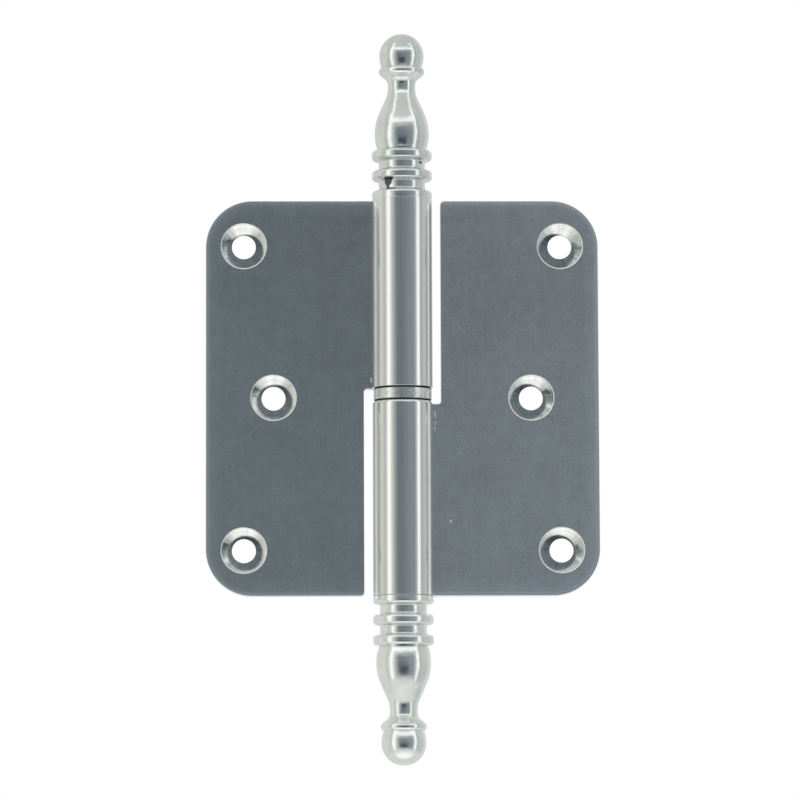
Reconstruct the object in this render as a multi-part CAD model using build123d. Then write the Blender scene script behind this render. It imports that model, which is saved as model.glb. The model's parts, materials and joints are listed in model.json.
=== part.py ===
from build123d import *
import math
import os

# Sizes in millimetres. The pin axis is Z, the front of the open hinge faces -Y.

# Distance within which two places count as one when an edge or a corner is picked
NEAR = 0.01

# Sheet, pin and knuckles
LEAF_T = 3.0
PIN_R = 3.7
RUN_CLEAR = 0.05
RUN_BORE_R = PIN_R + RUN_CLEAR
PRESS_BORE_R = PIN_R
BARREL_R = RUN_BORE_R + LEAF_T

# Leaf plates
LEAF_H = 89.0
HALF_H = LEAF_H / 2
LEAF_W = 44.1
CLOSED_GAP = 2.5
FRONT_Y = CLOSED_GAP / 2
BACK_Y = FRONT_Y + LEAF_T
OUTER_CORNER_R = 10.5
INNER_CORNER_R = 0.9
NOTCH_CORNER_R = 0.7
FRONT_EDGE_R = 0.15
NOTCH_CLEAR = 1.9
NOTCH_X = BARREL_R + NOTCH_CLEAR

# Ring between the knuckles
END_CLEAR = 0.05
RING_T = 2.85
RING_BOTTOM = -0.9
RING_TOP = RING_BOTTOM + RING_T
RING_SETBACK = 0.25
RING_R = BARREL_R - RING_SETBACK
RING_CHAMFER = 0.25

# Knuckle ends, the rolled-up seam and the bend behind the barrel
UPPER_START = RING_TOP + END_CLEAR
LOWER_STOP = RING_BOTTOM - END_CLEAR
LOWER_NOTCH_DROP = 0.45
BARREL_END_R = 0.1
UPPER_START_R = 0.15
LOWER_STOP_R = 0.7
SEAM_GAP = 0.15
SEAM_EDGE_R = 0.5
BACK_BEND_R = 3.0

# Countersunk screw holes
HOLE_R = 2.7
SINK_R = 5.1
SINK_ANGLE = 96.0
SINK_DEPTH = (SINK_R - HOLE_R) / math.tan(math.radians(SINK_ANGLE / 2))
SINK_RIM_R = 0.35
END_HOLE_SIDE_EDGE = 8.55
END_HOLE_END_EDGE = 10.25
MID_HOLE_SIDE_EDGE = 15.2
END_HOLE_X = LEAF_W - END_HOLE_SIDE_EDGE
END_HOLE_Z = HALF_H - END_HOLE_END_EDGE
MID_HOLE_X = LEAF_W - MID_HOLE_SIDE_EDGE

# Pin
PIN_TOP = 30.0
PIN_TIP_L = 2.0
PIN_TIP_SETBACK = 0.8
PIN_TAIL_CHAMFER = 0.3

# Finials, from the end of the barrel outwards: radii, rounds, then lengths along the axis
SHANK_L = 9.0
SHANK_CHAMFER = 0.4
SHANK_GAP = 1.0
BEAD_SETBACK = 0.02
BEAD_R = BARREL_R - BEAD_SETBACK
GROOVE_R = 5.2
LIP_BASE_R = BARREL_R - BARREL_END_R
BULB_BASE_R = 5.45
BULB_R = 6.1
NECK_R = 3.08
COLLAR_R = 5.12
BALL_BASE_R = 4.5
BALL_R = 5.0
LIP_ROUND_R = 0.75
BEAD_ROUND_R = 0.75
GROOVE_ROUND_R = 0.4
BULB_ROUND_SHARE = 0.62
NECK_ROUND_SHARE = 0.248
NECK_FOOT_SHARE = 0.587
COLLAR_ROUND_SHARE = 0.308
LIP_L = 1.15
FLANK_SPREAD = 0.1
GROOVE_A_FLOOR = 1.35
GROOVE_B_FLOOR = 1.3
BEAD_LAND = 0.75
BULB_FOOT_L = 0.22
BULB_RISE_L = 3.58
BULB_FALL_L = 10.38
NECK_FLAT = 0.75
COLLAR_RISE_L = 3.12
BALL_RISE_L = 3.63

# Rounds of the long flanks, as shares of the radius sum at which their two arcs would touch
BULB_DROP = BULB_R - NECK_R
BULB_TURN_R = (BULB_FALL_L ** 2 + BULB_DROP ** 2) / (2 * BULB_DROP)
BULB_ROUND_R = BULB_ROUND_SHARE * BULB_TURN_R
NECK_ROUND_R = NECK_ROUND_SHARE * BULB_TURN_R
COLLAR_RISE = COLLAR_R - NECK_R
COLLAR_TURN_R = (COLLAR_RISE_L ** 2 + COLLAR_RISE ** 2) / (2 * COLLAR_RISE)
NECK_FOOT_R = NECK_FOOT_SHARE * COLLAR_TURN_R
COLLAR_ROUND_R = COLLAR_ROUND_SHARE * COLLAR_TURN_R

# Places along the axis that follow from those lengths
LIP_FLANK = LIP_ROUND_R + GROOVE_ROUND_R + FLANK_SPREAD
BEAD_FLANK = BEAD_ROUND_R + GROOVE_ROUND_R + FLANK_SPREAD
GROOVE_A_AT = LIP_L + LIP_FLANK
BEAD_A_AT = GROOVE_A_AT + GROOVE_A_FLOOR + BEAD_FLANK
GROOVE_B_AT = BEAD_A_AT + BEAD_LAND + BEAD_FLANK
BEAD_B_AT = GROOVE_B_AT + GROOVE_B_FLOOR + BEAD_FLANK
BULB_BASE_AT = BEAD_B_AT + BEAD_LAND + BEAD_ROUND_R + BULB_FOOT_L
BULB_AT = BULB_BASE_AT + BULB_RISE_L
NECK_AT = BULB_AT + BULB_FALL_L
COLLAR_AT = NECK_AT + NECK_FLAT + COLLAR_RISE_L
BALL_AT = COLLAR_AT + BALL_RISE_L


def profile_point(radius, along):
    """Point of a turned profile, radius across and distance along the axis."""
    return Vector(radius, along)


def wave(start, end, start_round, end_round):
    """Two tangent arcs and a line from one crest or hollow to the next, both ends parallel to the axis."""
    run = end.Y - start.Y
    drop = abs(start.X - end.X)
    side = math.copysign(1.0, end.X - start.X)
    both = start_round + end_round
    reach = both - drop
    lead = math.atan2(run, reach)
    turn = lead - math.acos(both / math.hypot(run, reach))
    first_end = arc_point(start, start_round, turn, side, 1)
    first_mid = arc_point(start, start_round, turn / 2, side, 1)
    last_start = arc_point(end, end_round, turn, -side, -1)
    last_mid = arc_point(end, end_round, turn / 2, -side, -1)
    first = ThreePointArc(start, first_mid, first_end)
    middle = Line(first_end, last_start)
    last = ThreePointArc(last_start, last_mid, end)
    return [first, middle, last]


def arc_point(tip, round_r, turn, side, way):
    """Point on the arc that leaves tip parallel to the axis, after it has turned."""
    across = side * round_r * (1 - math.cos(turn))
    along = way * round_r * math.sin(turn)
    return Vector(tip.X + across, tip.Y + along)


def crest_arc(base, crest):
    """Arc from a base point up to a crest where it runs parallel to the axis."""
    run = crest.Y - base.Y
    rise = crest.X - base.X
    round_r = (run * run + rise * rise) / (2 * rise)
    half = math.asin(run / round_r) / 2
    middle = arc_point(crest, round_r, half, -1, -1)
    return ThreePointArc(base, middle, crest)


def beads(stop):
    """Lip and two flat-topped beads over flat grooves, up to the foot of the bulb."""
    lip_base = profile_point(LIP_BASE_R, 0)
    lip = profile_point(BEAD_R, LIP_L)
    groove_a = profile_point(GROOVE_R, GROOVE_A_AT)
    groove_a_end = profile_point(GROOVE_R, GROOVE_A_AT + GROOVE_A_FLOOR)
    bead_a = profile_point(BEAD_R, BEAD_A_AT)
    bead_a_end = profile_point(BEAD_R, BEAD_A_AT + BEAD_LAND)
    groove_b = profile_point(GROOVE_R, GROOVE_B_AT)
    groove_b_end = profile_point(GROOVE_R, GROOVE_B_AT + GROOVE_B_FLOOR)
    bead_b = profile_point(BEAD_R, BEAD_B_AT)
    bead_b_end = profile_point(BEAD_R, BEAD_B_AT + BEAD_LAND)
    edges = [crest_arc(lip_base, lip)]
    edges += wave(lip, groove_a, LIP_ROUND_R, GROOVE_ROUND_R)
    edges.append(Line(groove_a, groove_a_end))
    edges += wave(groove_a_end, bead_a, GROOVE_ROUND_R, BEAD_ROUND_R)
    edges.append(Line(bead_a, bead_a_end))
    edges += wave(bead_a_end, groove_b, BEAD_ROUND_R, GROOVE_ROUND_R)
    edges.append(Line(groove_b, groove_b_end))
    edges += wave(groove_b_end, bead_b, GROOVE_ROUND_R, BEAD_ROUND_R)
    shoulder_mid = arc_point(bead_b_end, BEAD_ROUND_R, math.pi / 4, -1, 1)
    shoulder_end = arc_point(bead_b_end, BEAD_ROUND_R, math.pi / 2, -1, 1)
    edges.append(Line(bead_b, bead_b_end))
    edges.append(ThreePointArc(bead_b_end, shoulder_mid, shoulder_end))
    edges.append(Line(shoulder_end, stop))
    return edges


def bulb(start):
    """Bulb, neck and collar up to the foot of the ball."""
    crest = profile_point(BULB_R, BULB_AT)
    neck = profile_point(NECK_R, NECK_AT)
    neck_end = profile_point(NECK_R, NECK_AT + NECK_FLAT)
    collar = profile_point(COLLAR_R, COLLAR_AT)
    fall = math.acos(1 - (COLLAR_R - BALL_BASE_R) / COLLAR_ROUND_R)
    collar_mid = arc_point(collar, COLLAR_ROUND_R, fall / 2, -1, 1)
    collar_end = arc_point(collar, COLLAR_ROUND_R, fall, -1, 1)
    edges = [crest_arc(start, crest)]
    edges += wave(crest, neck, BULB_ROUND_R, NECK_ROUND_R)
    edges.append(Line(neck, neck_end))
    edges += wave(neck_end, collar, NECK_FOOT_R, COLLAR_ROUND_R)
    edges.append(ThreePointArc(collar, collar_mid, collar_end))
    return edges, collar_end


def ball(start):
    """Ball with its tip on the axis."""
    belt = profile_point(BALL_R, BALL_AT)
    cap_mid = arc_point(belt, BALL_R, math.pi / 4, -1, 1)
    tip = arc_point(belt, BALL_R, math.pi / 2, -1, 1)
    return [crest_arc(start, belt), ThreePointArc(belt, cap_mid, tip)], tip


def finial(shank_r):
    """Turned finial on a shank, standing on z = 0 with its shank below."""
    bulb_base = profile_point(BULB_BASE_R, BULB_BASE_AT)
    bulb_edges, ball_base = bulb(bulb_base)
    ball_edges, tip = ball(ball_base)
    edges = beads(bulb_base) + bulb_edges + ball_edges
    tail = profile_point(0, -SHANK_L)
    tail_rim = profile_point(shank_r - SHANK_CHAMFER, -SHANK_L)
    tail_side = profile_point(shank_r, SHANK_CHAMFER - SHANK_L)
    shank_top = profile_point(shank_r, 0)
    lip_base = profile_point(LIP_BASE_R, 0)
    edges.append(Polyline(tip, tail, tail_rim, tail_side, shank_top, lip_base))
    outline = Plane.XZ * make_face(edges)
    return revolve(outline, Axis.Z, 360)


def end_rounding(z_end, way, radius):
    """Ring that takes the square corner off a barrel end, facing up or down."""
    outside = BARREL_R + radius
    inner = (BARREL_R - radius, z_end)
    lower = (BARREL_R, z_end - way * radius)
    middle_r = BARREL_R - radius * (1 - math.sqrt(0.5))
    middle = (middle_r, z_end - way * radius * (1 - math.sqrt(0.5)))
    sides = Polyline(lower, (outside, lower[1]), (outside, z_end), inner)
    corner = make_face([ThreePointArc(inner, middle, lower), sides])
    return revolve(Plane.XZ * corner, Axis.Z, 360)


def tube(bore_r, bottom, top, bottom_round, top_round):
    """Rolled barrel with its open seam beside the plate."""
    seam_x = BARREL_R / 2 + bore_r / 2
    seam = Pos(seam_x, FRONT_Y - SEAM_GAP / 2) * Rectangle(LEAF_T * 2, SEAM_GAP)
    section = Circle(BARREL_R) - Circle(bore_r) - seam
    curl_edge = section.vertices().filter_by(lambda v: v.Y < FRONT_Y - SEAM_GAP / 2).sort_by(Axis.X)[-1]
    section = fillet(curl_edge, SEAM_EDGE_R)
    body = extrude(Pos(0, 0, bottom) * section, top - bottom, dir=(0, 0, 1))
    body -= end_rounding(bottom, -1, bottom_round)
    body -= end_rounding(top, 1, top_round)
    return body


def bend_web(bottom, top):
    """Metal in the hollow of the bend, between the back of the barrel and the plate."""
    centre_y = BACK_Y + BACK_BEND_R
    centre_x = math.sqrt((BARREL_R + BACK_BEND_R) ** 2 - centre_y ** 2)
    share = BARREL_R / (BARREL_R + BACK_BEND_R)
    touch_x = centre_x * share
    touch_y = centre_y * share
    middle_y = (FRONT_Y + BACK_Y) / 2
    corners = [(touch_x, middle_y), (centre_x, middle_y), (centre_x, touch_y), (touch_x, touch_y)]
    block = Polygon(*corners, align=None)
    section = block - Pos(centre_x, centre_y) * Circle(BACK_BEND_R)
    return extrude(Pos(0, 0, bottom) * section, top - bottom, dir=(0, 0, 1))


def plate(knuckle_side, notch_z):
    """Flat plate on +X, its knuckle at the lower (-1) or upper (+1) end and a notch beside the other one."""
    root_x = (RUN_BORE_R + BARREL_R) / 2 - FRONT_Y / 2
    near = knuckle_side * HALF_H
    far = -near
    corners = [(root_x, near), (LEAF_W, near), (LEAF_W, far)]
    corners += [(NOTCH_X, far), (NOTCH_X, notch_z), (root_x, notch_z)]
    outline = Polygon(*corners, align=None)
    outer = outline.vertices().filter_by(lambda v: v.X > LEAF_W - NEAR)
    outline = fillet(outer, OUTER_CORNER_R)
    inner = outline.vertices().sort_by(lambda v: math.dist((v.X, v.Y), (NOTCH_X, far)))[0]
    outline = fillet(inner, INNER_CORNER_R)
    hollow = outline.vertices().sort_by(lambda v: math.dist((v.X, v.Y), (NOTCH_X, notch_z)))[0]
    outline = fillet(hollow, NOTCH_CORNER_R)
    front = Plane((0, FRONT_Y, 0), x_dir=(1, 0, 0), z_dir=(0, -1, 0))
    body = extrude(front * outline, LEAF_T, dir=(0, 1, 0))
    rim = body.faces().sort_by(Axis.Y)[0].edges()
    rim = rim.filter_by(lambda e: e.center().X > root_x + NEAR)
    return fillet(rim, FRONT_EDGE_R)


def screw_hole(x, z):
    """Cutter for one countersunk hole, the wide end at the front."""
    sink = Pos(0, 0, -SINK_DEPTH / 2) * Cone(HOLE_R, SINK_R, SINK_DEPTH)
    through = Pos(0, 0, -LEAF_T / 2) * Cylinder(HOLE_R, LEAF_T * 2)
    front = Plane((x, FRONT_Y, z), x_dir=(1, 0, 0), z_dir=(0, -1, 0))
    return front * (sink + through)


def leaf(knuckle_side, bore_r, knuckle_stop, notch_z, inner_round):
    """One leaf on +X: plate, rolled knuckle at its lower or upper end, and three screw holes."""
    outer_z = knuckle_side * HALF_H
    bottom, top = sorted((outer_z, knuckle_stop))
    rounds = (BARREL_END_R, inner_round)[::-knuckle_side]
    web_bottom, web_top = sorted((outer_z, notch_z))
    body = plate(knuckle_side, notch_z)
    body += tube(bore_r, bottom, top, *rounds)
    body += bend_web(web_bottom, web_top)
    body -= screw_hole(END_HOLE_X, END_HOLE_Z)
    body -= screw_hole(END_HOLE_X, -END_HOLE_Z)
    body -= screw_hole(MID_HOLE_X, 0)
    rims = body.edges().filter_by(GeomType.CIRCLE).filter_by(lambda e: is_sink_rim(e))
    return fillet(rims, SINK_RIM_R)


def is_sink_rim(edge):
    """True for the wide edge of a countersink."""
    at_front = abs(edge.center().Y - FRONT_Y) < NEAR
    return at_front and abs(edge.radius - SINK_R) < NEAR


def lower_leaf():
    """Frame leaf on +X with the lower knuckle."""
    notch_z = LOWER_STOP - LOWER_NOTCH_DROP
    return leaf(-1, PRESS_BORE_R, LOWER_STOP, notch_z, LOWER_STOP_R)


def upper_leaf():
    """Door leaf on -X with the upper knuckle."""
    body = leaf(1, RUN_BORE_R, UPPER_START, UPPER_START, UPPER_START_R)
    return mirror(body, Plane.YZ)


def bearing_ring():
    """Loose ring on the pin between the two knuckles."""
    body = Cylinder(RING_R, RING_T) - Cylinder(RUN_BORE_R, RING_T * 2)
    outer = body.edges().filter_by(GeomType.CIRCLE).filter_by(lambda e: e.radius > RING_R - NEAR)
    body = chamfer(outer, RING_CHAMFER)
    return Pos(0, 0, (RING_TOP + RING_BOTTOM) / 2) * body


def hinge_pin():
    """Pin that stands in the lower knuckle and reaches into the upper one."""
    bottom = -HALF_H + SHANK_L + SHANK_GAP
    tail = PIN_R - PIN_TAIL_CHAMFER
    tip = PIN_R - PIN_TIP_SETBACK
    corners = [(0, bottom), (tail, bottom), (PIN_R, bottom + PIN_TAIL_CHAMFER)]
    corners += [(PIN_R, PIN_TOP - PIN_TIP_L), (tip, PIN_TOP), (0, PIN_TOP)]
    outline = Plane.XZ * make_face(Polyline(*corners, close=True))
    return revolve(outline, Axis.Z, 360)


def top_finial():
    """Finial with its shank in the upper knuckle."""
    return Pos(0, 0, HALF_H) * finial(RUN_BORE_R)


def bottom_finial():
    """Finial with its shank in the lower knuckle, pointing down."""
    return Pos(0, 0, -HALF_H) * Rot(180, 0, 0) * finial(PRESS_BORE_R)


NODES = {
    "upper_leaf": upper_leaf,
    "lower_leaf": lower_leaf,
    "bearing_ring": bearing_ring,
    "hinge_pin": hinge_pin,
    "top_finial": top_finial,
    "bottom_finial": bottom_finial,
}

os.makedirs("parts", exist_ok=True)
for name, make in NODES.items():
    export_step(make(), f"parts/{name}.step")
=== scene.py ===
import json
import logging
import math
from dataclasses import dataclass
from enum import Enum
from typing import Any, Dict, List, Optional, Protocol, Tuple, Union

import bpy
from mathutils import Matrix, Vector


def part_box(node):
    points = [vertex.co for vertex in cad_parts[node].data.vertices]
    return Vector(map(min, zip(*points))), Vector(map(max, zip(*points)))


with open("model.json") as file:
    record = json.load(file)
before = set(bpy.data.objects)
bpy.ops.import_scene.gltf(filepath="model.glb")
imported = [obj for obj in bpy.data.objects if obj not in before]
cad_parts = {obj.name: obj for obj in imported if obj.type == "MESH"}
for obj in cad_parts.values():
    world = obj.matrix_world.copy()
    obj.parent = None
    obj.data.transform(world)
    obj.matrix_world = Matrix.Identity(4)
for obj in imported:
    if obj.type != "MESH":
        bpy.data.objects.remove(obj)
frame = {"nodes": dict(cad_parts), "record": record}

LOG = logging.getLogger("hinge")
MM = 0.001
NOISE_MEAN = 0.5
MIX_FACTOR = 0
MIX_LOW = 6
MIX_HIGH = 7
MIX_RESULT = 2
Triple = Tuple[float, float, float]
Number = Union[float, "Wire"]
POLISH: Triple = (0.80, 0.82, 0.81)
POLISH_DULL: Triple = (0.72, 0.745, 0.735)


class Part(Enum):
    """The pieces of the hinge, by the names of their nodes."""

    UPPER_LEAF = "upper_leaf"
    LOWER_LEAF = "lower_leaf"
    RING = "bearing_ring"
    PIN = "hinge_pin"
    TOP_FINIAL = "top_finial"
    BOTTOM_FINIAL = "bottom_finial"


class Wire:
    """One shader value; arithmetic on it adds Math nodes to its sheet."""

    def __init__(self, sheet: "Sheet", socket: bpy.types.NodeSocket) -> None:
        """Wraps an output socket.

        Args:
            sheet: The node sheet that the socket belongs to.
            socket: The output socket.
        """
        self.sheet = sheet
        self.socket = socket

    def math(self, operation: str, *others: Number) -> "Wire":
        """Adds one Math node with this value first.

        Args:
            operation: The Math node's operation.
            others: The other values.

        Returns:
            The node's result.
        """
        return self.sheet.math(operation, self, *others)

    def __add__(self, other: Number) -> "Wire":
        """Sum."""
        return self.math("ADD", other)

    def __radd__(self, other: Number) -> "Wire":
        """Reflected sum."""
        return self.math("ADD", other)

    def __sub__(self, other: Number) -> "Wire":
        """Difference."""
        return self.math("SUBTRACT", other)

    def __rsub__(self, other: Number) -> "Wire":
        """Reflected difference."""
        return self.sheet.math("SUBTRACT", other, self)

    def __mul__(self, other: Number) -> "Wire":
        """Product."""
        return self.math("MULTIPLY", other)

    def __rmul__(self, other: Number) -> "Wire":
        """Reflected product."""
        return self.math("MULTIPLY", other)

    def __truediv__(self, other: Number) -> "Wire":
        """Quotient."""
        return self.math("DIVIDE", other)

    def __rtruediv__(self, other: Number) -> "Wire":
        """Reflected quotient."""
        return self.sheet.math("DIVIDE", other, self)

    def __neg__(self) -> "Wire":
        """Negative."""
        return self.math("MULTIPLY", -1.0)

    def __abs__(self) -> "Wire":
        """Size without sign."""
        return self.math("ABSOLUTE")

    def rise(self, low: float, high: float) -> "Wire":
        """Goes smoothly from 0 at low to 1 at high.

        Args:
            low: Where the result is 0.
            high: Where the result is 1; it may lie under low.

        Returns:
            The smooth step.
        """
        node = self.sheet.node(
            "ShaderNodeMapRange",
            {"interpolation_type": "SMOOTHSTEP"},
            {"Value": self, "From Min": low, "From Max": high},
        )
        return self.sheet.wire(node, "Result")


class Sheet:
    """A node tree that is filled from Python expressions."""

    def __init__(self, tree: bpy.types.NodeTree) -> None:
        """Empties the tree.

        Args:
            tree: A material's or the world's node tree.
        """
        self.tree = tree
        tree.nodes.clear()

    def node(
        self,
        kind: str,
        settings: Optional[Dict[str, Any]] = None,
        inputs: Optional[Dict[Union[str, int], Any]] = None,
    ) -> bpy.types.Node:
        """Adds any node.

        Args:
            kind: The node's type name.
            settings: Properties set before the inputs.
            inputs: Values or wires for its sockets, by name or number.

        Returns:
            The new node.
        """
        made = self.tree.nodes.new(kind)
        for key, value in (settings or {}).items():
            setattr(made, key, value)
        for key, value in (inputs or {}).items():
            if isinstance(value, Wire):
                self.tree.links.new(value.socket, made.inputs[key])
            else:
                made.inputs[key].default_value = value
        return made

    def wire(self, node: bpy.types.Node, output: Union[str, int] = 0) -> Wire:
        """One output of a node as a value."""
        return Wire(self, node.outputs[output])

    def math(self, operation: str, *values: Number) -> Wire:
        """Adds one Math node.

        Args:
            operation: The Math node's operation.
            values: Its inputs in order.

        Returns:
            The node's result.
        """
        made = self.node("ShaderNodeMath", {"operation": operation}, dict(enumerate(values)))
        return self.wire(made)

    def vector(
        self,
        operation: str,
        *values: Union[Wire, Triple],
        scale: Optional[Number] = None,
    ) -> Wire:
        """Adds one Vector Math node.

        Args:
            operation: The node's operation.
            values: Its vector inputs in order.
            scale: The factor of a SCALE operation.

        Returns:
            The vector, or the length for LENGTH.
        """
        inputs: Dict[Union[str, int], Any] = dict(enumerate(values))
        if scale is not None:
            inputs["Scale"] = scale
        made = self.node("ShaderNodeVectorMath", {"operation": operation}, inputs)
        return self.wire(made, "Value" if operation == "LENGTH" else "Vector")

    def parts(self, vector: Wire) -> Tuple[Wire, Wire, Wire]:
        """The three components of a vector."""
        made = self.node("ShaderNodeSeparateXYZ", inputs={"Vector": vector})
        return self.wire(made, "X"), self.wire(made, "Y"), self.wire(made, "Z")

    def joined(self, x: Number, y: Number, z: Number) -> Wire:
        """A vector from three components."""
        made = self.node("ShaderNodeCombineXYZ", inputs={"X": x, "Y": y, "Z": z})
        return self.wire(made)

    def radius(self, x: Number, y: Number) -> Wire:
        """Length of a vector in a plane."""
        return self.vector("LENGTH", self.joined(x, y, 0.0))

    def tint(self, factor: Number, low: Union[Wire, Triple], high: Union[Wire, Triple]) -> Wire:
        """Mixes two colours.

        Args:
            factor: 0 gives low, 1 gives high.
            low: A colour.
            high: A colour.

        Returns:
            The mixed colour.
        """
        ends = [end if isinstance(end, Wire) else (*end, 1.0) for end in (low, high)]
        inputs = {MIX_FACTOR: factor, MIX_LOW: ends[0], MIX_HIGH: ends[1]}
        made = self.node("ShaderNodeMix", {"data_type": "RGBA"}, inputs)
        return self.wire(made, MIX_RESULT)

    def millimetres(self) -> Wire:
        """The object's own coordinates in millimetres."""
        place = self.wire(self.node("ShaderNodeTexCoord"), "Object")
        return self.vector("SCALE", place, scale=1.0 / MM)

    def bump(self, height_mm: Wire) -> Wire:
        """A normal bent by a height in millimetres."""
        inputs = {"Height": height_mm, "Distance": MM, "Strength": 1.0}
        return self.wire(self.node("ShaderNodeBump", inputs=inputs), "Normal")

    def metal(self, colour: Wire, rough: Wire, height_mm: Wire) -> None:
        """Ends the sheet in a metal surface.

        Args:
            colour: The metal's colour.
            rough: Its roughness.
            height_mm: The relief that bends its normal.
        """
        inputs = {
            "Base Color": colour,
            "Roughness": rough,
            "Normal": self.bump(height_mm),
            "Metallic": 1.0,
        }
        shader = self.node("ShaderNodeBsdfPrincipled", inputs=inputs)
        self.node("ShaderNodeOutputMaterial", inputs={"Surface": self.wire(shader)})


@dataclass(frozen=True)
class Grain:
    """Cloudy noise about 0, drawn out along an axis where its density is low."""

    density: Triple
    detail: float = 2.0
    rough: float = 0.5

    @classmethod
    def even(cls, density: float, detail: float = 2.0, rough: float = 0.5) -> "Grain":
        """Noise that is alike along all axes.

        Args:
            density: How many features lie on one unit of length.
            detail: Number of finer layers.
            rough: Share of the finer layers.

        Returns:
            The grain.
        """
        return cls((density, density, density), detail, rough)

    def lay(self, sheet: Sheet, place: Wire) -> Wire:
        """Adds the noise to a sheet.

        Args:
            sheet: The sheet.
            place: The coordinates.

        Returns:
            The noise, less its mean.
        """
        inputs = {
            "Vector": sheet.vector("MULTIPLY", place, self.density),
            "Scale": 1.0,
            "Detail": self.detail,
            "Roughness": self.rough,
        }
        return sheet.wire(sheet.node("ShaderNodeTexNoise", inputs=inputs)) - NOISE_MEAN


def new_material(name: str) -> Tuple[bpy.types.Material, Sheet]:
    """Makes an empty node material.

    Args:
        name: The material's name.

    Returns:
        The material and its sheet.
    """
    material = bpy.data.materials.new(name)
    material.use_nodes = True
    return material, Sheet(material.node_tree)


def toward(start: Wire, goal: Number, share: Number) -> Wire:
    """A value drawn towards another by a share of the way."""
    return start + (goal - start) * share


def extent(part: Part) -> Tuple[Vector, Vector]:
    """The two corners of a node's box in millimetres."""
    low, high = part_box(part.value)
    return low / MM, high / MM


@dataclass(frozen=True)
class LeafLayout:
    """Where the edges, the barrel and the screw holes of a leaf lie, in millimetres."""

    half_width: float
    half_height: float
    barrel_radius: float
    end_hole: Tuple[float, float]
    mid_hole: float
    bore_depth: float

    @classmethod
    def of(cls, part: Part, mount: str) -> "LeafLayout":
        """Reads the layout from the frame.

        Args:
            part: The leaf.
            mount: First word of the names of the leaf's mounts in the record.

        Returns:
            The layout.
        """
        low, high = extent(part)
        mounts = {entry["name"]: entry for entry in frame["record"]["mounts"]}
        ends = mounts[f"{mount}_screws"]
        middle = mounts[f"{mount}_mid_screw"]
        return cls(
            half_width=max(-low.x, high.x),
            half_height=high.z,
            barrel_radius=-low.y,
            end_hole=(abs(ends["pos_m"][0]) / MM, ends["dims"]["spacing_y_mm"] / 2),
            mid_hole=abs(middle["pos_m"][0]) / MM,
            bore_depth=middle["pos_m"][1] / MM,
        )


@dataclass(frozen=True)
class Band:
    """A darker band that runs round the axis at one height: painted shade."""

    height_mm: float
    half_mm: float
    colour: Triple = (0.05, 0.053, 0.056)
    rough: float = 0.45
    fade: Tuple[float, float] = (1.3, 0.7)

    def lay(self, sheet: Sheet, z: Wire, within: Number, colour: Wire, rough: Wire) -> Tuple[Wire, Wire]:
        """Lays the band over a finish.

        Args:
            sheet: The material's sheet.
            z: Place along the axis.
            within: Mask of the surface that it may lie on.
            colour: The finish's colour.
            rough: The finish's roughness.

        Returns:
            The colour and the roughness with the band.
        """
        outer, inner = (self.half_mm * share for share in self.fade)
        dark = abs(z - self.height_mm).rise(outer, inner) * within
        return sheet.tint(dark, colour, self.colour), toward(rough, self.rough, dark)


@dataclass(frozen=True)
class Scratch:
    """A light scratch on the front of a leaf."""

    across_mm: float
    height_mm: float
    half_width_mm: float
    half_length_mm: float
    core: Tuple[float, float] = (0.6, 0.4)
    front_mm: Tuple[float, float] = (2.0, 1.8)

    def mask(self, x: Wire, y: Wire, z: Wire) -> Wire:
        """1 in the scratch, 0 outside.

        Args:
            x: Place across.
            y: Place in depth.
            z: Place along the pin.

        Returns:
            The mask.
        """
        across = abs(x - self.across_mm)
        along = abs(z - self.height_mm)
        wide = across.rise(self.half_width_mm, self.half_width_mm * self.core[0])
        tall = along.rise(self.half_length_mm, self.half_length_mm * self.core[1])
        return wide * tall * y.rise(*self.front_mm)


@dataclass(frozen=True)
class Stain:
    """A dark three-cornered spot on the front of a finial, its tip down."""

    tip_across_mm: float
    tip_height_mm: float
    top_across_mm: float
    top_height_mm: float
    tip_half_mm: float
    top_half_mm: float
    ragged_mm: float = 0.7
    ragged_top: float = 0.3
    soft_mm: float = 0.12
    flecks: Grain = Grain.even(1.7, detail=3.0)
    tip_fade: Tuple[float, float] = (-0.08, 0.04)
    top_fade: Tuple[float, float] = (1.06, 0.92)
    front_mm: Tuple[float, float] = (-0.5, -1.0)

    def mask(self, sheet: Sheet, place: Wire) -> Wire:
        """Ragged mask of the spot.

        Args:
            sheet: The material's sheet.
            place: Coordinates in millimetres.

        Returns:
            1 inside the spot, 0 outside.
        """
        x, y, z = sheet.parts(place)
        up = (z - self.tip_height_mm) / (self.top_height_mm - self.tip_height_mm)
        middle = up * (self.top_across_mm - self.tip_across_mm) + self.tip_across_mm
        half = up * (self.top_half_mm - self.tip_half_mm) + self.tip_half_mm
        uneven = self.flecks.lay(sheet, place)
        out = abs(x - middle) - half + uneven * self.ragged_mm
        level = up + uneven * self.ragged_top
        tall = level.rise(*self.tip_fade) * level.rise(*self.top_fade)
        return out.rise(self.soft_mm, -self.soft_mm) * tall * y.rise(*self.front_mm)


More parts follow.
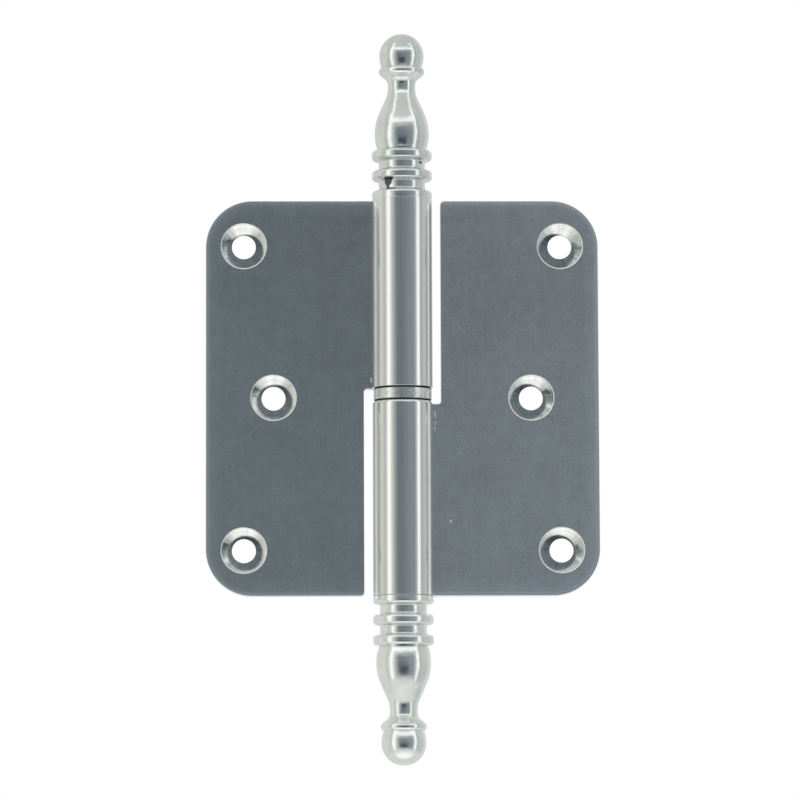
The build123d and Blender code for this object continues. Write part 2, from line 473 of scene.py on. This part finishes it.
@dataclass(frozen=True)
class LeafPlating:
    """Plated sheet: grey satin plate, brighter drawn barrel and cut countersinks."""

    name: str
    layout: LeafLayout
    plate: Triple
    scratches: Tuple[Scratch, ...] = ()
    bright: Triple = (0.77, 0.78, 0.775)
    scratch_and_rim_highlight: Triple = (0.95, 0.95, 0.94)
    plate_rough: float = 0.17
    rim_rough: float = 0.45
    barrel_rough: float = 0.15
    sink_rough: float = 0.09
    scratch_rough: float = 0.60
    speck_share: float = 0.52
    cloud_share: float = 0.26
    drift_share: float = 0.20
    streak_share: float = 0.12
    # painted highlights: how much lighter the plate gets near its outer edge
    edge_share: float = 0.14
    edge_highlight_share: float = 0.55
    outward_share: float = 0.05
    low_share: float = 0.14
    drawn_share: float = 0.30
    cut_share: float = 1.3
    speck: Grain = Grain.even(2.6, detail=3.0, rough=0.6)
    clouds: Grain = Grain.even(0.45, detail=3.0)
    drift: Grain = Grain.even(0.07)
    streaks: Grain = Grain((1.3, 1.3, 0.05), detail=3.0)
    drawn: Grain = Grain((1.9, 1.9, 0.02), detail=4.0, rough=0.65)
    chatter: Grain = Grain.even(3.2, detail=3.0, rough=0.6)
    rings: Grain = Grain.even(2.6)
    rough_swing: float = 0.04
    drawn_rough: float = 0.10
    cut_rough: float = 0.05
    speck_mm: float = 0.0020
    drawn_mm: float = 0.009
    cut_mm: float = 0.005
    fall_back: float = 0.018
    corner_mm: float = 10.5
    edge_reach_mm: float = 4.5
    edge_highlight_reach_mm: Tuple[float, float] = (-1.4, 0.1)
    barrel_fade_mm: Tuple[float, float] = (0.3, 0.1)
    sink_radius_mm: float = 5.1
    sink_fade_mm: float = 0.15
    rim_half_mm: Tuple[float, float] = (0.18, 0.07)
    hole_shift: float = 0.05

    def material(self) -> bpy.types.Material:
        """Makes the finish for one leaf."""
        material, sheet = new_material(self.name)
        place = sheet.millimetres()
        x, y, z = sheet.parts(place)
        speck = self.speck.lay(sheet, place)
        drawn = self.drawn.lay(sheet, place)
        barrel = self._barrel(sheet, x, y)
        sink, rim, cuts = self._countersinks(sheet, place)
        inside = self._inside(sheet, x, z)
        colour = sheet.vector("SCALE", self.plate, scale=self._shade(sheet, place, speck, inside))
        worked = sheet.vector("SCALE", self.bright, scale=1.0 + drawn * self.drawn_share)
        colour = sheet.tint(barrel, colour, worked)
        cut = sheet.vector("SCALE", self.bright, scale=1.0 + cuts * self.cut_share)
        colour = sheet.tint(sink, colour, cut)
        rough = self.plate_rough + speck * self.rough_swing
        rough = toward(rough, self.barrel_rough + drawn * self.drawn_rough, barrel)
        rough = toward(rough, self.sink_rough + cuts * self.cut_rough, sink)
        # painted highlight: a light line round the rim of each countersink
        colour = sheet.tint(rim, colour, self.scratch_and_rim_highlight)
        rough = toward(rough, self.rim_rough, rim)
        for scratch in self.scratches:
            mark = scratch.mask(x, y, z)
            colour = sheet.tint(mark, colour, self.scratch_and_rim_highlight)
            rough = toward(rough, self.scratch_rough, mark)
        height = toward(speck * self.speck_mm, drawn * self.drawn_mm, barrel)
        height = toward(height, cuts * self.cut_mm, sink)
        out = sheet.math("MAXIMUM", abs(x) - self.layout.barrel_radius - self.barrel_fade_mm[0], 0.0)
        sheet.metal(colour, rough, height - out * self.fall_back)
        return material

    def _shade(self, sheet: Sheet, place: Wire, speck: Wire, inside: Wire) -> Wire:
        """How light the plate is from place to place: random grain, clouds and streaks, with painted
        light that grows towards its outer side and its bottom, and painted highlights along its outer
        edge.

        Args:
            sheet: The material's sheet.
            place: Coordinates in millimetres.
            speck: The fine grain.
            inside: Distance from the outer edge, negative inside.

        Returns:
            A factor about 1.
        """
        x, _, z = sheet.parts(place)
        clouds = self.clouds.lay(sheet, place)
        drift = self.drift.lay(sheet, place)
        streaks = self.streaks.lay(sheet, place)
        shade = 1.0 + speck * self.speck_share + clouds * self.cloud_share
        shade = shade + drift * self.drift_share + streaks * self.streak_share
        # painted light: the plate is lighter towards its outer side and towards its bottom
        outward = abs(x).rise(self.layout.barrel_radius, self.layout.half_width)
        low = z.rise(self.layout.half_height, -self.layout.half_height)
        shade = shade + outward * self.outward_share + low * self.low_share
        # painted highlights: the plate is lighter within a few millimetres of its outer edge, most in the
        # last millimetre and a half
        shade = shade + inside.rise(-self.edge_reach_mm, 0.0) * self.edge_share
        return shade + inside.rise(*self.edge_highlight_reach_mm) * self.edge_highlight_share

    def _barrel(self, sheet: Sheet, x: Wire, y: Wire) -> Wire:
        """Mask of the rolled barrel.

        Args:
            sheet: The material's sheet.
            x: Place across.
            y: Place in depth.

        Returns:
            1 on the barrel, 0 on the plate.
        """
        outer, inner = (self.layout.barrel_radius + more for more in self.barrel_fade_mm)
        return sheet.radius(x, y).rise(outer, inner)

    def _inside(self, sheet: Sheet, x: Wire, z: Wire) -> Wire:
        """Distance from the outer edge of the plate.

        Args:
            sheet: The material's sheet.
            x: Place across.
            z: Place along the pin.

        Returns:
            Millimetres, negative inside the edge.
        """
        across = sheet.math("MAXIMUM", abs(x) - (self.layout.half_width - self.corner_mm), 0.0)
        along = sheet.math("MAXIMUM", abs(z) - (self.layout.half_height - self.corner_mm), 0.0)
        return sheet.radius(across, along) - self.corner_mm

    def _countersinks(self, sheet: Sheet, place: Wire) -> Tuple[Wire, Wire, Wire]:
        """Masks of the countersinks and of the painted highlights on their rims, and the tool marks.

        Args:
            sheet: The material's sheet.
            place: Coordinates in millimetres.

        Returns:
            The two masks, and the marks about 0.
        """
        x, y, z = sheet.parts(place)
        out = abs(x)
        end = sheet.joined(out - self.layout.end_hole[0], 0.0, abs(z) - self.layout.end_hole[1])
        middle = sheet.joined(out - self.layout.mid_hole, 0.0, z)
        end_radius = sheet.vector("LENGTH", end)
        middle_radius = sheet.vector("LENGTH", middle)
        is_middle = sheet.math("LESS_THAN", middle_radius, end_radius)
        radius = sheet.math("MINIMUM", middle_radius, end_radius)
        way_x, _, way_z = sheet.parts(sheet.vector("NORMALIZE", sheet.tint(is_middle, end, middle)))
        shift = (x + z) * self.hole_shift
        chatter = self.chatter.lay(sheet, sheet.joined(way_x, way_z, shift))
        rings = self.rings.lay(sheet, sheet.joined(radius, shift, 0.0))
        depth = self.layout.bore_depth
        front = y.rise(depth + self.sink_fade_mm, depth - self.sink_fade_mm)
        mask = radius.rise(self.sink_radius_mm, self.sink_radius_mm - self.sink_fade_mm) * front
        rim = abs(radius - self.sink_radius_mm).rise(*self.rim_half_mm) * front
        return mask, rim, (rings + chatter) / 2.0


@dataclass(frozen=True)
class TurnedPlating:
    """Plated turned metal, bright and faintly uneven."""

    name: str
    bright: Triple = POLISH
    dull: Triple = POLISH_DULL
    rough: float = 0.14
    wave_mm: float = 0.05
    ripple_mm: float = 0.014
    lathe_mm: float = 0.006
    speckle_mm: float = 0.0
    speckle_share: float = 0.0
    lathe_rough: float = 0.08
    ripple_rough: float = 0.06
    waves: Grain = Grain.even(0.45, detail=1.0)
    ripple: Grain = Grain.even(1.5)
    speckle: Grain = Grain.even(4.0)
    clouds: Grain = Grain.even(0.3, detail=4.0)
    lathe: Grain = Grain((0.08, 0.08, 3.0), detail=3.0)
    cloud_fade: Tuple[float, float] = (-0.2, 0.2)
    film: Triple = (0.50, 0.52, 0.52)
    film_radius_mm: Tuple[float, float] = (6.4, 5.4)
    film_reach_mm: Tuple[float, float] = (0.0, 0.0)
    film_fade_mm: float = 0.05
    stain_colour: Triple = (0.13, 0.145, 0.14)
    stain_rough: float = 0.5
    stains: Tuple[Stain, ...] = ()
    bands: Tuple[Band, ...] = ()
    band_radius_mm: Tuple[float, float] = (0.0, 0.1)

    def material(self) -> bpy.types.Material:
        """Makes the finish."""
        material, sheet = new_material(self.name)
        place = sheet.millimetres()
        x, y, z = sheet.parts(place)
        lathe = self.lathe.lay(sheet, place)
        waves = self.waves.lay(sheet, place)
        ripple = self.ripple.lay(sheet, place)
        speckle = self.speckle.lay(sheet, place)
        clouds = self.clouds.lay(sheet, place)
        colour = sheet.tint(clouds.rise(*self.cloud_fade), self.dull, self.bright)
        colour = sheet.tint(self._film(sheet, place, ripple), colour, self.film)
        colour = sheet.vector("SCALE", colour, scale=1.0 + speckle * self.speckle_share)
        rough = self.rough + lathe * self.lathe_rough + ripple * self.ripple_rough
        outside = sheet.radius(x, y).rise(*self.band_radius_mm)
        # painted shade: each band darkens a ring round the axis
        for band in self.bands:
            colour, rough = band.lay(sheet, z, outside, colour, rough)
        for stain in self.stains:
            spot = stain.mask(sheet, place)
            colour = sheet.tint(spot, colour, self.stain_colour)
            rough = toward(rough, self.stain_rough, spot)
        height = lathe * self.lathe_mm + waves * self.wave_mm
        height = height + ripple * self.ripple_mm + speckle * self.speckle_mm
        sheet.metal(colour, rough, height)
        return material

    def _film(self, sheet: Sheet, place: Wire, uneven: Wire) -> Wire:
        """Mask of the dull film in the grooves beside the barrel.

        Args:
            sheet: The material's sheet.
            place: Coordinates in millimetres.
            uneven: Noise that breaks the film up.

        Returns:
            The share of the film.
        """
        x, y, z = sheet.parts(place)
        begin, end = self.film_reach_mm
        away = abs(z)
        zone = away.rise(begin, begin + self.film_fade_mm) * away.rise(end + self.film_fade_mm, end)
        deep = sheet.radius(x, y).rise(*self.film_radius_mm)
        return deep * zone * uneven


class Piece(Protocol):
    """A piece of the hinge that gets a finish."""

    def dress(self) -> bpy.types.Object:
        """Gives the piece its finish."""


def dress_node(part: Part, finish: bpy.types.Material) -> bpy.types.Object:
    """Puts one material on a node.

    Args:
        part: The piece.
        finish: The material.

    Returns:
        The node's object.
    """
    piece = frame["nodes"][part.value]
    piece.data.materials.clear()
    piece.data.materials.append(finish)
    return piece


@dataclass(frozen=True)
class HingeLeaf:
    """One leaf: plate, rolled knuckle and countersunk holes."""

    part: Part
    mount: str
    plate: Triple
    scratches: Tuple[Scratch, ...]

    def dress(self) -> bpy.types.Object:
        """Gives the leaf its satin plating."""
        layout = LeafLayout.of(self.part, self.mount)
        finish = LeafPlating(f"{self.part.value}_plating", layout, self.plate, scratches=self.scratches)
        return dress_node(self.part, finish.material())


@dataclass(frozen=True)
class Finial:
    """A turned finial: beads and grooves beside the barrel, bulb, neck, collar and ball."""

    part: Part
    foot_mm: float
    rough: float
    beads_mm: float = 11.27
    shaded_flanks_mm: Tuple[float, ...] = ()
    flank_half_mm: float = 0.5
    flank_shade_colour: Triple = (0.68, 0.70, 0.705)
    bright: Triple = POLISH
    dull: Triple = POLISH_DULL
    stains: Tuple[Stain, ...] = ()
    bands: Tuple[Band, ...] = ()

    def dress(self) -> bpy.types.Object:
        """Gives the finial its polish, with a film in its grooves, painted shade on some flanks and its
        further bands.
        """
        # painted shade: darker bands on the listed flanks
        flanks = tuple(
            Band(self.foot_mm + at, self.flank_half_mm, self.flank_shade_colour, self.rough)
            for at in self.shaded_flanks_mm
        )
        finish = TurnedPlating(
            f"{self.part.value}_plating",
            bright=self.bright,
            dull=self.dull,
            rough=self.rough,
            film_reach_mm=(self.foot_mm, self.foot_mm + self.beads_mm),
            stains=self.stains,
            bands=flanks + self.bands,
        )
        return dress_node(self.part, finish.material())


@dataclass(frozen=True)
class BearingRing:
    """The loose ring between the knuckles, with painted shade at both of its edges, where it meets the
    knuckles.
    """

    part: Part = Part.RING
    edge_shade_half_mm: Tuple[float, float] = (0.2, 0.34)
    edge_shade_reach_mm: Tuple[float, float] = (0.9, 0.5)
    rough: float = 0.24
    wave_mm: float = 0.01
    speckle_mm: float = 0.03
    speckle_share: float = 1.8

    def dress(self) -> bpy.types.Object:
        """Gives the ring its speckled finish."""
        low, high = extent(self.part)
        # painted shade: dark bands at the ring's top and bottom edges
        finish = TurnedPlating(
            f"{self.part.value}_plating",
            rough=self.rough,
            wave_mm=self.wave_mm,
            speckle_mm=self.speckle_mm,
            speckle_share=self.speckle_share,
            bands=tuple(Band(end.z, half) for end, half in zip((low, high), self.edge_shade_half_mm)),
            band_radius_mm=(high.x - self.edge_shade_reach_mm[0], high.x - self.edge_shade_reach_mm[1]),
        )
        return dress_node(self.part, finish.material())


@dataclass(frozen=True)
class HingePin:
    """The ground pin, seen only when the leaf is lifted off."""

    part: Part = Part.PIN
    rough: float = 0.25
    wave_mm: float = 0.0
    lathe_mm: float = 0.01

    def dress(self) -> bpy.types.Object:
        """Gives the pin its ground steel."""
        name = f"{self.part.value}_steel"
        finish = TurnedPlating(name, rough=self.rough, wave_mm=self.wave_mm, lathe_mm=self.lathe_mm)
        return dress_node(self.part, finish.material())


@dataclass(frozen=True)
class Ramp:
    """An angle in degrees over which something fades in."""

    low: float
    high: float

    def mask(self, angle: Wire) -> Wire:
        """0 at the low end, 1 at the high end."""
        return angle.rise(math.radians(self.low), math.radians(self.high))


@dataclass(frozen=True)
class Span:
    """A stretch of angles in degrees that fades in and out."""

    begin: float
    full: float
    fade: float
    end: float

    def mask(self, angle: Wire) -> Wire:
        """1 inside the stretch, 0 outside, smooth between."""
        return Ramp(self.begin, self.full).mask(angle) * Ramp(self.end, self.fade).mask(angle)


@dataclass(frozen=True)
class LightTent:
    """White cloth round the hinge with a grey opening before it."""

    opening_left: Triple = (0.176, 0.212, 0.238)
    opening_right: Triple = (0.275, 0.311, 0.340)
    shade: Triple = (0.060, 0.072, 0.082)
    hem: Triple = (1.28, 1.29, 1.25)
    hem_over: Triple = (1.28, 1.29, 1.26)
    wall_left: Triple = (0.74, 0.755, 0.69)
    wall_right: Triple = (0.58, 0.62, 0.60)
    roof: Triple = (0.64, 0.66, 0.64)
    apron: Triple = (0.78, 0.80, 0.77)
    ground: Triple = (1.15, 1.15, 1.11)
    ground_behind: Triple = (0.74, 0.76, 0.74)
    rear: Triple = (0.74, 0.75, 0.74)
    backdrop: Triple = (1.0, 1.0, 1.0)
    spill: Triple = (1.0, 1.0, 1.0)
    crease_share: float = 0.20
    fold_share: float = 0.35
    folds: Grain = Grain((5.0, 0.7, 1.0), detail=3.0)
    patch_share: float = 0.5
    patches: Grain = Grain.even(4.0)
    opening_across: Span = Span(-50.0, -18.0, 42.0, 56.0)
    opening_lift: Span = Span(-34.0, -24.0, 12.0, 31.0)
    shade_across: Span = Span(-26.0, -10.0, 12.0, 26.0)
    shade_lift: Span = Span(-32.0, -24.0, -14.0, 2.0)
    hem_left: Span = Span(-69.0, -58.0, -54.0, -42.0)
    hem_right: Span = Span(53.0, 59.0, 65.0, 71.0)
    crease_left: Span = Span(-88.0, -79.0, -70.0, -62.0)
    crease_right: Span = Span(66.0, 72.0, 77.0, 86.0)
    hem_top: Span = Span(24.0, 31.0, 34.0, 41.0)
    hem_lift: Span = Span(-36.0, -28.0, 52.0, 66.0)
    hem_across: Span = Span(-58.0, -48.0, 56.0, 64.0)
    wall_turn: Ramp = Ramp(-57.0, 57.0)
    rear_turn: Ramp = Ramp(112.0, 130.0)
    roof_lift: Ramp = Ramp(32.0, 49.0)
    apron_lift: Ramp = Ramp(-29.0, -37.0)
    ground_lift: Ramp = Ramp(-40.0, -63.0)
    opening_turn: Ramp = Ramp(-14.0, 40.0)
    ground_front: Tuple[float, float] = (-0.02, 0.12)

    def build(self) -> None:
        """Makes the world."""
        world = bpy.data.worlds.new("light_tent")
        world.use_nodes = True
        sheet = Sheet(world.node_tree)
        path = sheet.node("ShaderNodeLightPath")
        glossy = sheet.wire(path, "Is Glossy Ray")
        light = sheet.tint(glossy, self.spill, self._cloth(sheet))
        light = sheet.tint(sheet.wire(path, "Is Camera Ray"), light, self.backdrop)
        background = sheet.node("ShaderNodeBackground", inputs={"Color": light, "Strength": 1.0})
        sheet.node("ShaderNodeOutputWorld", inputs={"Surface": sheet.wire(background)})
        bpy.context.scene.world = world

    def _cloth(self, sheet: Sheet) -> Wire:
        """What polished metal sees.

        Args:
            sheet: The world's sheet.

        Returns:
            The light from each direction.
        """
        way = sheet.wire(sheet.node("ShaderNodeTexCoord"), "Generated")
        x, y, z = sheet.parts(way)
        turn = sheet.math("ARCTAN2", x, -y)
        lift = z.math("ARCSINE")
        patches = self.patches.lay(sheet, way)
        cloth = sheet.tint(self.roof_lift.mask(lift), self._walls(sheet, turn, lift), self.roof)
        front = (-y).rise(*self.ground_front)
        ground = sheet.tint(front, self.ground_behind, self.ground)
        below = sheet.tint(self.ground_lift.mask(lift), self.apron, ground)
        cloth = sheet.tint(self.apron_lift.mask(lift), cloth, below)
        over = self.hem_top.mask(lift) * self.hem_across.mask(turn)
        over = over * (1.0 + patches * self.patch_share)
        cloth = sheet.tint(over, cloth, self.hem_over)
        sides = (self.hem_left.mask(turn) + self.hem_right.mask(turn)) * self.hem_lift.mask(lift)
        cloth = sheet.tint(sides, cloth, self.hem)
        opening = sheet.tint(self.opening_turn.mask(turn), self.opening_left, self.opening_right)
        shaded = self.shade_across.mask(turn) * self.shade_lift.mask(lift)
        opening = sheet.tint(shaded, opening, self.shade)
        return sheet.tint(self.opening_across.mask(turn) * self.opening_lift.mask(lift), cloth, opening)

    def _walls(self, sheet: Sheet, turn: Wire, lift: Wire) -> Wire:
        """The cloth at the sides and behind, with its folds and a crease beside each hem.

        Args:
            sheet: The world's sheet.
            turn: Angle round the hinge from the front.
            lift: Angle over the horizon.

        Returns:
            The light from the walls.
        """
        wall = sheet.tint(self.wall_turn.mask(turn), self.wall_left, self.wall_right)
        wall = sheet.tint(self.rear_turn.mask(abs(turn)), wall, self.rear)
        folds = self.folds.lay(sheet, sheet.joined(turn, lift, 0.0))
        creases = self.crease_left.mask(turn) + self.crease_right.mask(turn)
        level = 1.0 + folds * self.fold_share - creases * self.crease_share
        return sheet.vector("SCALE", wall, scale=level)


def direction(turn_deg: float, lift_deg: float) -> Vector:
    """The direction from the hinge to a place round it.

    Args:
        turn_deg: Angle round the pin from the front, in degrees.
        lift_deg: Angle over the horizon, in degrees.

    Returns:
        The unit vector.
    """
    turn = math.radians(turn_deg)
    lift = math.radians(lift_deg)
    level = math.cos(lift)
    return Vector((math.sin(turn) * level, -math.cos(turn) * level, math.sin(lift)))


@dataclass(frozen=True)
class SoftLight:
    """A soft box over the camera that gives the floor its shadow."""

    name: str = "soft_box"
    turn_deg: float = -20.0
    lift_deg: float = 62.0
    distance: float = 1.6
    size: float = 0.9
    radiance: float = 1.5

    def build(self) -> bpy.types.Object:
        """Adds the light, aimed at the hinge."""
        way = direction(self.turn_deg, self.lift_deg)
        data = bpy.data.lights.new(self.name, "AREA")
        data.size = self.size
        data.energy = self.radiance * math.pi * self.size ** 2
        lamp = bpy.data.objects.new(self.name, data)
        lamp.location = way * self.distance
        lamp.rotation_euler = way.to_track_quat("Z", "Y").to_euler()
        lamp.visible_camera = False
        lamp.visible_glossy = False
        bpy.context.collection.objects.link(lamp)
        return lamp


@dataclass(frozen=True)
class PhotoCamera:
    """A long lens a little under the middle of the hinge."""

    name: str = "photo_camera"
    turn_deg: float = -1.37
    lift_deg: float = -5.74
    roll_deg: float = -0.21
    distance: float = 1.0
    focal_px: float = 4468.6
    image_px: float = 800.0
    sensor: float = 36.0
    clip_start: float = 0.01
    target: Triple = (-0.60 * MM, 0.0, -0.67 * MM)

    def build(self) -> bpy.types.Object:
        """Adds the camera and makes it the scene's own."""
        back = direction(self.turn_deg, self.lift_deg)
        right = (-back).cross(Vector((0.0, 0.0, 1.0))).normalized()
        up = right.cross(-back)
        roll = math.radians(self.roll_deg)
        across = right * math.cos(roll) + up * math.sin(roll)
        along = up * math.cos(roll) - right * math.sin(roll)
        data = bpy.data.cameras.new(self.name)
        data.sensor_width = self.sensor
        data.lens = self.focal_px / self.image_px * self.sensor
        data.clip_start = self.clip_start
        camera = bpy.data.objects.new(self.name, data)
        matrix = Matrix((across, along, back)).transposed().to_4x4()
        matrix.translation = Vector(self.target) + back * self.distance
        camera.matrix_world = matrix
        bpy.context.collection.objects.link(camera)
        bpy.context.scene.camera = camera
        return camera


@dataclass(frozen=True)
class Floor:
    """A plain pale floor under the hinge, below the camera's view."""

    size: float = 12.0
    height: float = -0.16
    colour: Triple = (0.86, 0.86, 0.86)
    mottle: Triple = (0.80, 0.80, 0.80)
    mottle_share: float = 0.04
    mottling: Grain = Grain.even(9.0)
    rough: float = 0.8

    def build(self) -> bpy.types.Object:
        """Adds the floor."""
        bpy.ops.object.select_all(action="DESELECT")
        bpy.ops.mesh.primitive_plane_add(size=self.size, location=(0.0, 0.0, self.height))
        floor = bpy.context.object
        floor.name = "floor"
        material, sheet = new_material("pale_floor")
        place = sheet.wire(sheet.node("ShaderNodeTexCoord"), "Object")
        share = (self.mottling.lay(sheet, place) + NOISE_MEAN) * self.mottle_share
        colour = sheet.tint(share, self.colour, self.mottle)
        inputs = {"Base Color": colour, "Roughness": self.rough}
        shader = sheet.node("ShaderNodeBsdfPrincipled", inputs=inputs)
        sheet.node("ShaderNodeOutputMaterial", inputs={"Surface": sheet.wire(shader)})
        floor.data.materials.append(material)
        floor.visible_glossy = False
        return floor


def hinge_pieces() -> List[Piece]:
    """The six pieces of the hinge with their finishes."""
    barrel_low, barrel_high = extent(Part.UPPER_LEAF)
    return [
        HingeLeaf(
            Part.UPPER_LEAF,
            "door",
            # painted shade: the upper leaf's plate is darker than the lower leaf's, which has the same
            # plating
            plate=(0.55, 0.565, 0.565),
            scratches=(Scratch(across_mm=-7.05, height_mm=3.9, half_width_mm=0.16, half_length_mm=0.75),),
        ),
        HingeLeaf(
            Part.LOWER_LEAF,
            "frame",
            plate=(0.66, 0.67, 0.67),
            scratches=(
                Scratch(across_mm=7.3, height_mm=-3.8, half_width_mm=0.18, half_length_mm=0.95),
                Scratch(across_mm=7.35, height_mm=-5.7, half_width_mm=0.18, half_length_mm=0.55),
                Scratch(across_mm=7.2, height_mm=-7.0, half_width_mm=0.16, half_length_mm=0.6),
                Scratch(across_mm=10.7, height_mm=-27.8, half_width_mm=0.24, half_length_mm=0.5),
            ),
        ),
        BearingRing(),
        HingePin(),
        Finial(
            Part.TOP_FINIAL,
            barrel_high.z,
            rough=0.16,
            # painted shade on two flanks of the top finial
            shaded_flanks_mm=(4.35, 8.9),
            stains=(
                Stain(
                    tip_across_mm=-3.25,
                    tip_height_mm=46.6,
                    top_across_mm=-3.05,
                    top_height_mm=49.1,
                    tip_half_mm=0.28,
                    top_half_mm=1.1,
                ),
                Stain(
                    tip_across_mm=4.1,
                    tip_height_mm=52.3,
                    top_across_mm=4.1,
                    top_height_mm=52.8,
                    tip_half_mm=0.3,
                    top_half_mm=0.4,
                    ragged_mm=0.2,
                ),
            ),
        ),
        Finial(
            Part.BOTTOM_FINIAL,
            -barrel_low.z,
            rough=0.20,
            # painted light: the bottom finial's colours are lighter than the top finial's, which has the
            # same plating
            bright=(0.86, 0.88, 0.87),
            dull=(0.79, 0.815, 0.805),
            # painted shade: a dark line where the bottom finial meets the barrel
            bands=(Band(barrel_low.z, half_mm=0.1, colour=(0.10, 0.105, 0.11)),),
        ),
    ]


def main() -> None:
    """Dresses the hinge, sets the stage and notes the sizes."""
    logging.basicConfig(level=logging.INFO, format="%(name)s: %(message)s")
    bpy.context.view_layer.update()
    bpy.context.scene.view_settings.view_transform = "Standard"
    for piece in hinge_pieces():
        dressed = piece.dress()
        LOG.info("%s: %d faces", dressed.name, len(dressed.data.polygons))
    LightTent().build()
    SoftLight().build()
    PhotoCamera().build()
    Floor().build()


if __name__ == "__main__":
    main()
